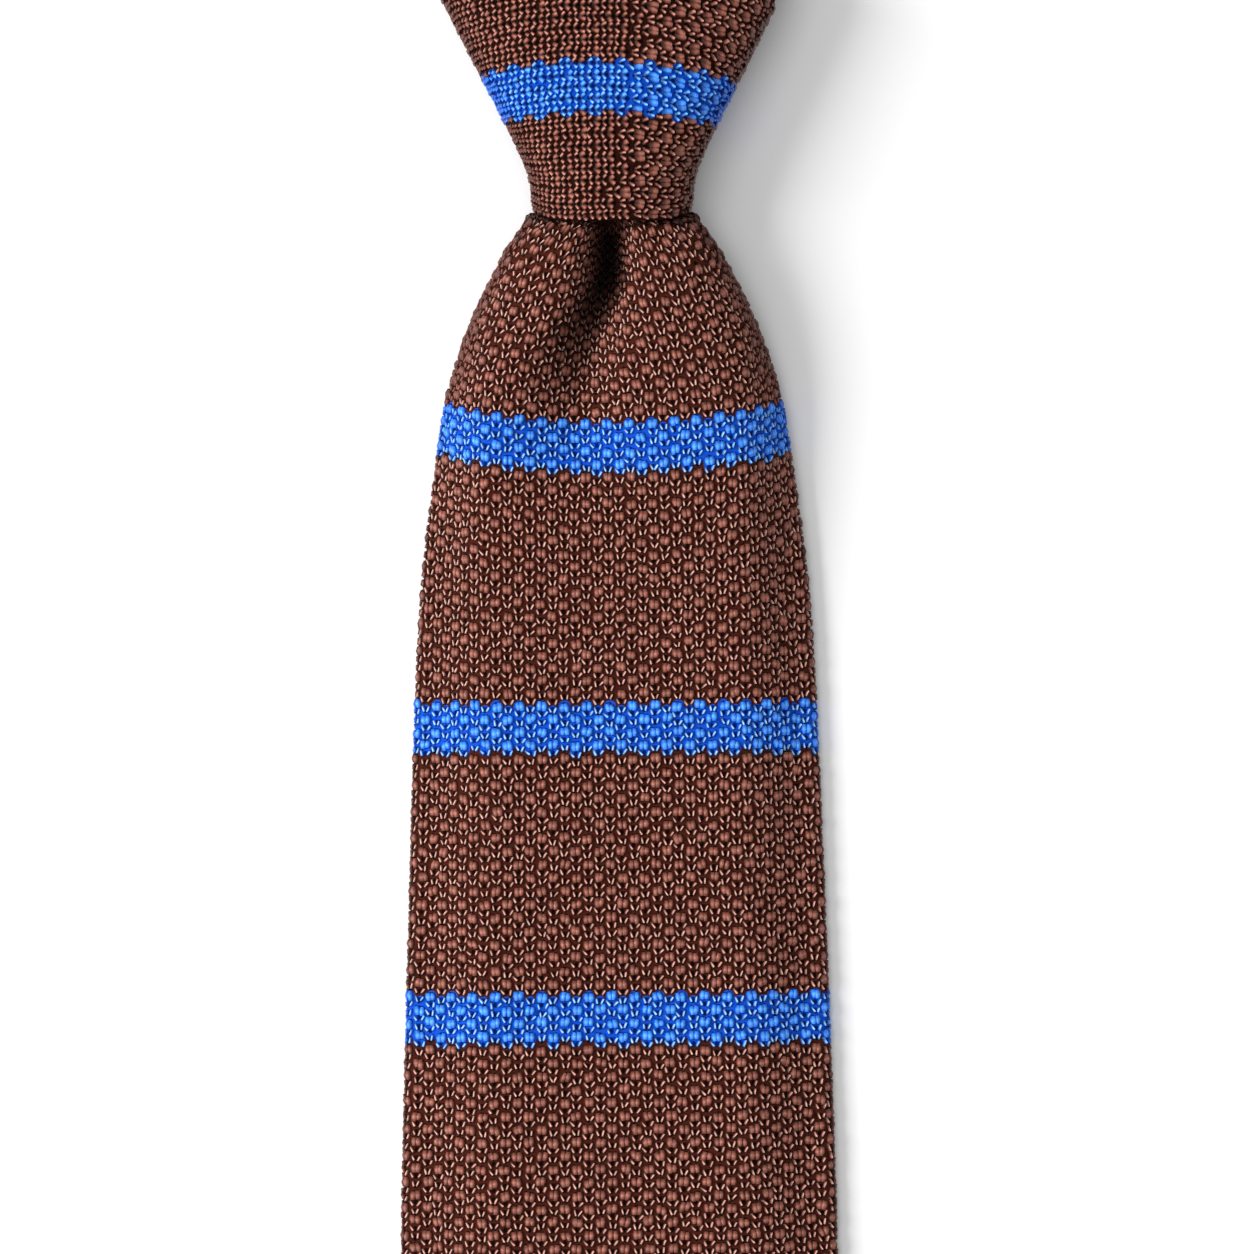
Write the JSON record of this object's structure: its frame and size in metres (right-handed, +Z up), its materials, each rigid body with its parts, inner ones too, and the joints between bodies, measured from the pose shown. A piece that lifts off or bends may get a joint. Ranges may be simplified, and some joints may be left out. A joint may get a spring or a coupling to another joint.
{
  "type": "knit tie",
  "caption": "Knitted necktie, tied and lying face up: a wide square-ended blade gathered in a dimple under a tapered knot, a narrow blade beneath it and an open neck loop.",
  "frame": {"origin": "on the table under the middle of the tie's outline, as it lies face up", "axes": "+Y along the tie from the blades' square ends to the neck loop, +Z up from the table out of the tie's front, +X across the tie"},
  "size_m": [0.1248, 0.6484, 0.0256],
  "materials": {
    "knitted_cloth": "knitted silky yarn, brown with bright blue cross stripes"
  },
  "bodies": {
    "root": {"front_blade": "knitted_cloth", "tail_blade": "knitted_cloth", "knot_band": "knitted_cloth", "knot_fold": "knitted_cloth", "neck_loop": "knitted_cloth"}
  },
  "joints": []
}
